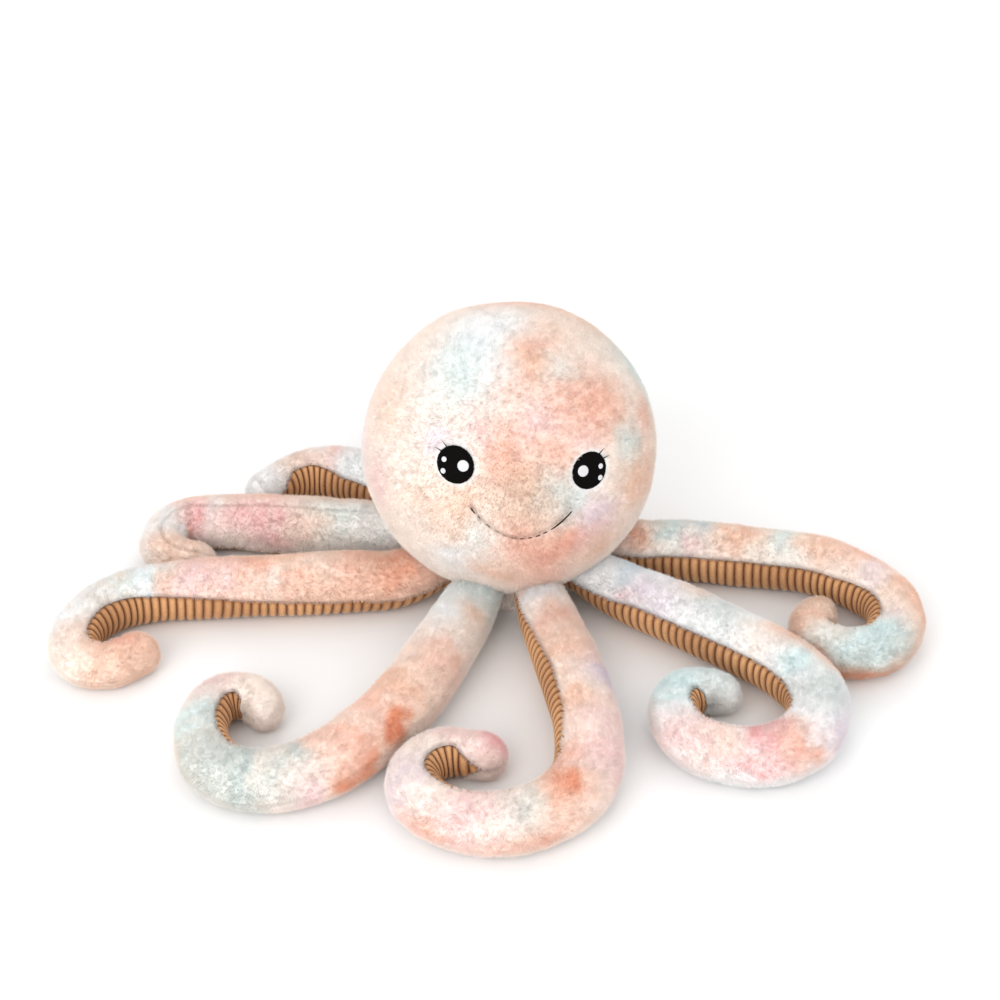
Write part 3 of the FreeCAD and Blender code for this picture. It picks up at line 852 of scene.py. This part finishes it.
def make_head():
    """The two fur halves of the head, shaped round the eyes and the smile, and dyed."""
    directions, quads = ball_grid(HEAD_GRID)
    outline, out = head_outline(directions)
    across, up = face_angles(directions)
    lumps = 2.0 * LUMPS(outline, 85.0) + 1.0 * LUMPS(outline + 300.0, 38.0)
    lumps += 0.3 * CLUMPS(outline, 8.5) + 0.15 * CLUMPS(outline, 4.2)
    sink = PILE_SINK - lumps
    per_degree = HEAD_R * math.pi / 180
    slope = 2 * (MOUTH_CORNER_UP - MOUTH_MIDDLE_UP) * across / MOUTH_HALF_WIDTH ** 2
    from_mouth = (up - mouth_up(across)) / np.sqrt(1 + slope ** 2) * per_degree
    on_mouth = smooth((MOUTH_HALF_WIDTH + 1.5 - np.abs(across)) / 3.0) * (np.abs(up) < 30)
    sink += 2.6 * np.exp(-(from_mouth / 3.2) ** 2) * on_mouth
    sink -= 1.3 * np.exp(-((from_mouth - 11) / 8) ** 2) * on_mouth
    pile = np.ones(len(directions))
    halo = np.zeros(len(directions))
    for side in (-1, 1):
        corner = face_direction(side * MOUTH_HALF_WIDTH, MOUTH_CORNER_UP)
        away = np.arccos(np.clip(directions @ corner, -1, 1)) * HEAD_R
        sink += 2.4 * np.exp(-(away / 6.0) ** 2)
        axes = face_axes(side * EYE_ACROSS, EYE_UP)
        right, above = ((directions * HEAD_R) @ axis for axis in axes[1:])
        facing = directions @ axes[0] > 0.5
        lean = math.radians(side * EYE_LEAN)
        long_way = (right * math.cos(lean) + above * math.sin(lean)) / (EYE_WIDTH / 2)
        short_way = (above * math.cos(lean) - right * math.sin(lean)) / (EYE_HEIGHT / 2)
        from_rim = (np.hypot(long_way, short_way) - 1) * EYE_HEIGHT / 2
        from_rim = np.where(facing, from_rim, 999.0)
        pile[from_rim < 3.2] = 0.0
        sink += 1.5 * np.exp(-(np.clip(from_rim, 0, None) / 3.0) ** 2)
        halo = np.maximum(halo, 0.7 * smooth((5.5 - from_rim) / 3.0))
    sink *= smooth((outline[:, 2] - 1.0) / 12.0) * 0.8 + 0.2
    points = outline - out * sink[:, None]
    points[:, 2] = np.maximum(points[:, 2], 0.4)
    drift = np.stack([DYE(outline + 900.0 * k, 42.0) for k in range(3)], axis=-1) * 13
    drift += np.stack([DYE(outline + 500.0 * k, 13.0) for k in range(3)], axis=-1) * 6
    moved = directions * HEAD_R + drift
    moved /= np.linalg.norm(moved, axis=1, keepdims=True)
    colours = np.broadcast_to(np.array(CREAM), points.shape).copy()
    for patch_across, patch_up, reach, colour, strength in HEAD_DYE:
        centre = face_direction(patch_across, patch_up)
        away = np.degrees(np.arccos(np.clip(moved @ centre, -1, 1)))
        colours = mix_dye_and_shade(colours, colour, 1.2 * strength * np.exp(-(away / reach) ** 2))
    colours = mix_dye_and_shade(colours, WHITE, halo)
    shade = 1 + 0.02 * CLUMPS(outline, 8.5) + 0.025 * CLUMPS(outline, 4.2)
    shade -= 0.10 * np.exp(-(from_mouth / 2.2) ** 2) * on_mouth
    colours = np.clip(colours * shade[:, None], 0, 1)
    middle = points[quads].mean(axis=1)
    on_panel = (np.hypot(middle[:, 0], middle[:, 1]) < PANEL_R - 2) & (middle[:, 2] < HEAD_R / 2)
    for name, half in (("front", middle[:, 1] < 0), ("back", middle[:, 1] >= 0)):
        used, index = np.unique(quads[half & ~on_panel], return_inverse=True)
        piece = make_mesh("head_" + name + "_fur", points[used], index.reshape(-1, 4), colours[used])
        dress(piece, HEAD_FUR)
        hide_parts("head_" + name + "_cover")
        if name == "front":
            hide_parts("head_stuffing")
        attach(piece, "head")
        grow_pile(piece, HEAD_HALF_AREA, 200 + len(name), pile[used])


def make_base_panel():
    """Round corduroy panel under the head, its wales running from side to side."""
    count = int(2 * PANEL_R / 1.6)
    side = np.linspace(-1, 1, count + 1)
    u, v = np.meshgrid(side, side, indexing="ij")
    x = PANEL_R * u * np.sqrt(1 - v ** 2 / 2)
    y = PANEL_R * v * np.sqrt(1 - u ** 2 / 2)
    across = np.abs((y / WALE % 1.0) * 2 - 1)
    wale = np.sqrt(1 - across ** 2.6)
    edge = smooth((PANEL_R - np.hypot(x, y)) / 4.0)
    z = 3.6 - WALE_RELIEF * wale * edge
    # painted shade: each wale is coloured darker down in its groove
    colours = mix_dye_and_shade(np.broadcast_to(np.array(TAN_GROOVE_SHADE), x.shape + (3,)), TAN_CREST, wale ** 1.6)
    points = np.stack([x, y, z], axis=-1).reshape(-1, 3)
    uvs = np.stack([y, x], axis=-1).reshape(-1, 2)
    piece = make_mesh("base_panel_corduroy", points, grid_quads(count + 1, count + 1),
                      colours.reshape(-1, 3), uvs)
    dress(piece, CORDUROY)
    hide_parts("base_panel")
    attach(piece, "head")


# ---- face ----


def join_meshes(name, parts):
    """One object from several lists of points and faces."""
    points = []
    faces = []
    for part_points, part_faces in parts:
        faces += [tuple(int(i) + len(points) for i in face) for face in part_faces]
        points += [tuple(p) for p in part_points]
    return make_mesh(name, points, faces)


def oval_pad(across, up, right, above, width, height, lean, low, crown):
    """A crowned oval of satin stitch, its rim turned down into what it is sewn on."""
    rings = 14
    spokes = 72
    share = np.concatenate([np.linspace(0.06, 1, rings), [1.0]])
    level = low + crown * np.sqrt(np.clip(1 - share ** 5, 0, 1))
    level[-1] = low - 2.0
    around = np.linspace(0, 2 * math.pi, spokes, endpoint=False)
    stitch_edge = 1 + 0.008 * np.sin(around * 31) + 0.006 * np.sin(around * 17 + 1)
    edge = 1 + (stitch_edge[None, :] - 1) * share[:, None] ** 4
    a = width / 2 * share[:, None] * np.cos(around)[None, :] * edge
    b = height / 2 * share[:, None] * np.sin(around)[None, :] * edge
    turn = math.radians(lean)
    x = right + a * math.cos(turn) - b * math.sin(turn)
    y = above + a * math.sin(turn) + b * math.cos(turn)
    points = on_face(across, up, x, y, np.broadcast_to(level[:, None], x.shape)).reshape(-1, 3)
    index = np.arange(len(points)).reshape(len(share), spokes)
    index = np.concatenate([index, index[:, :1]], axis=1)
    faces = [tuple(q) for q in np.stack([index[:-1, :-1].ravel(), index[1:, :-1].ravel(),
                                         index[1:, 1:].ravel(), index[:-1, 1:].ravel()], axis=1)]
    middle = points[:spokes].mean(axis=0)
    faces += [(len(points), index[0, k], index[0, k + 1]) for k in range(spokes)]
    return list(points) + [middle], faces


def thread_tube(path, radii):
    """A thread of changing thickness along a path of points on the head."""
    path = np.asarray(path)
    spokes = 8
    ahead = np.gradient(path, axis=0)
    ahead /= np.linalg.norm(ahead, axis=1, keepdims=True)
    out = path - np.array([0, 0, HEAD_R])
    out /= np.linalg.norm(out, axis=1, keepdims=True)
    side = np.cross(ahead, out)
    around = np.linspace(0, 2 * math.pi, spokes, endpoint=False)
    rim = side[:, None, :] * np.cos(around)[None, :, None] + out[:, None, :] * np.sin(around)[None, :, None]
    points = (path[:, None, :] + rim * np.asarray(radii)[:, None, None]).reshape(-1, 3)
    index = np.arange(len(points)).reshape(len(path), spokes)
    index = np.concatenate([index, index[:, :1]], axis=1)
    faces = [tuple(q) for q in np.stack([index[:-1, :-1].ravel(), index[1:, :-1].ravel(),
                                         index[1:, 1:].ravel(), index[:-1, 1:].ravel()], axis=1)]
    faces += [tuple(index[0, :-1]), tuple(index[-1, -2::-1])]
    return points, faces


# stitches of the smile: shares from -1 at its left corner to 1 at its right, height over the
# head's outline at each end, and thickness; the fur half covers most of them
SMILE = [
    (-1.00, -0.90, -0.6, -0.9, 0.8), (-0.84, -0.76, -2.6, -2.8, 0.6), (-0.66, -0.58, -2.8, -2.6, 0.6),
    (-0.47, -0.40, -2.8, -2.6, 0.65), (-0.31, -0.22, -2.0, -1.7, 0.65),
    (-0.14, -0.05, -1.2, -0.9, 0.65), (0.03, 0.12, -0.4, -0.3, 0.65), (0.19, 0.27, -0.4, -0.2, 0.65),
    (0.34, 0.42, 0.0, 0.3, 0.75), (0.48, 0.56, 0.2, 0.5, 0.75), (0.63, 1.02, 1.0, 1.5, 0.95),
]


def rides_on_head(piece, material, slot, *nodes):
    """Give a piece of embroidery its thread, and let it stand for its nodes on the head."""
    piece.data.materials.append(material)
    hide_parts(*nodes)
    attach(piece, "head")


def make_face():
    """Eyes with their white dots and lashes, and the stitches of the smile."""
    lashes = []
    for name, side in (("left", -1), ("right", 1)):
        place = (side * EYE_ACROSS, EYE_UP)
        eye = oval_pad(*place, 0, 0, EYE_WIDTH, EYE_HEIGHT, side * EYE_LEAN, -1.4, 3.4)
        rides_on_head(join_meshes("eye_" + name + "_patch", [eye]), BLACK_THREAD, "black_felt",
                      "eye_" + name)
        dots = [oval_pad(*place, -side * nose, above, 2 * radius, 2 * radius - 0.2, 0, 1.3, 1.4)
                for nose, above, radius in GLINTS]
        rides_on_head(join_meshes("eye_glints_" + name + "_dots", dots), WHITE_THREAD, "white_thread",
                      "eye_glints_" + name)
        for angle in LASH_ANGLES:
            turn = math.radians(angle)
            share = np.linspace(0, 1, 10)
            reach = EYE_WIDTH / 2 - 1.5 + share * (LASH_LENGTH + 1.0)
            bent = turn + math.radians(6) * share
            path = on_face(*place, -side * reach * np.cos(bent), reach * np.sin(bent),
                           1.6 + 0.8 * np.sin(share * math.pi))
            lashes.append(thread_tube(path, 0.85 - 0.6 * share))
    rides_on_head(join_meshes("eyelash_threads", lashes), BLACK_THREAD, "black_thread", "eyelashes")
    stitches = []
    for first, last, start_height, end_height, radius in SMILE:
        count = max(5, int((last - first) * 40))
        share = np.linspace(first, last, count)
        t = np.linspace(0, 1, count)
        across = MOUTH_HALF_WIDTH * share
        directions = face_direction(across, mouth_up(across))
        height = start_height + (end_height - start_height) * t
        path = directions * (HEAD_R + height)[:, None] + np.array([0, 0, HEAD_R])
        fullness = np.sin(math.pi * np.clip(t, 0.08, 0.92)) ** 0.4
        stitches.append(thread_tube(path, radius * (0.45 + 0.55 * fullness)))
    rides_on_head(join_meshes("smile_thread", stitches), BLACK_THREAD, "black_thread", "mouth_stitching")


make_head()
make_base_panel()
make_face()


# ---- camera, floor and lights, in metres ----

FLOOR_R = 12.0
CAMERA_DISTANCE = 2.4     # from the middle of the head
CAMERA_RISE = math.radians(32.0)
CAMERA_SWING = math.radians(-6.0)
CAMERA_DOWN = math.radians(33.64)     # where it looks, below level and to its side
CAMERA_ASIDE = math.radians(-5.635)
LENS = 66.6
SENSOR = 36.0
LIGHT_AIM = Vector((0, 0, 0.1))

# name, place, width and power of each light
LIGHTS = [("key", (-1.9, -2.5, 2.0), 2.6, 44), ("fill", (2.4, -1.6, 1.4), 2.6, 9),
          ("back", (0.6, 2.4, 2.4), 2.4, 16), ("low_front", (-0.9, -2.7, 0.6), 2.2, 18)]
SKY = 0.92                # strength of the even white light all round


def make_floor():
    """A wide white disc under the toy."""
    mesh = bpy.data.meshes.new("floor")
    around = np.linspace(0, 2 * math.pi, 96, endpoint=False)
    rim = [(FLOOR_R * math.cos(a), FLOOR_R * math.sin(a), 0) for a in around]
    mesh.from_pydata(rim, [], [tuple(range(len(rim)))])
    floor = bpy.data.objects.new("floor", mesh)
    bpy.context.scene.collection.objects.link(floor)
    nodes = Nodes("floor_paper")
    nodes.set(Roughness=0.9, Specular_IOR_Level=0.1, Base_Color=(0.93, 0.93, 0.93, 1))
    mesh.materials.append(nodes.material)


def make_light(name, place, size, power):
    light = bpy.data.lights.new(name, "AREA")
    light.shape = "DISK"
    light.size = size
    light.energy = power
    thing = bpy.data.objects.new(name, light)
    bpy.context.scene.collection.objects.link(thing)
    thing.location = place
    aim = LIGHT_AIM - Vector(place)
    thing.rotation_euler = aim.to_track_quat("-Z", "Y").to_euler()


def make_camera():
    camera = bpy.data.cameras.new("camera")
    camera.lens = LENS
    camera.sensor_width = SENSOR
    thing = bpy.data.objects.new("camera", camera)
    bpy.context.scene.collection.objects.link(thing)
    away = CAMERA_DISTANCE * math.cos(CAMERA_RISE)
    thing.location = (away * math.sin(CAMERA_SWING), -away * math.cos(CAMERA_SWING),
                      HEAD_R * MM + CAMERA_DISTANCE * math.sin(CAMERA_RISE))
    thing.rotation_euler = (math.radians(90) - CAMERA_DOWN, 0, CAMERA_ASIDE)
    bpy.context.scene.camera = thing


def make_world():
    world = bpy.data.worlds.new("studio")
    world.use_nodes = True
    background = world.node_tree.nodes["Background"]
    background.inputs["Color"].default_value = (1, 1, 1, 1)
    background.inputs["Strength"].default_value = SKY
    bpy.context.scene.world = world
    bpy.context.scene.view_settings.view_transform = "Standard"


make_floor()
for light in LIGHTS:
    make_light(*light)
make_camera()
make_world()
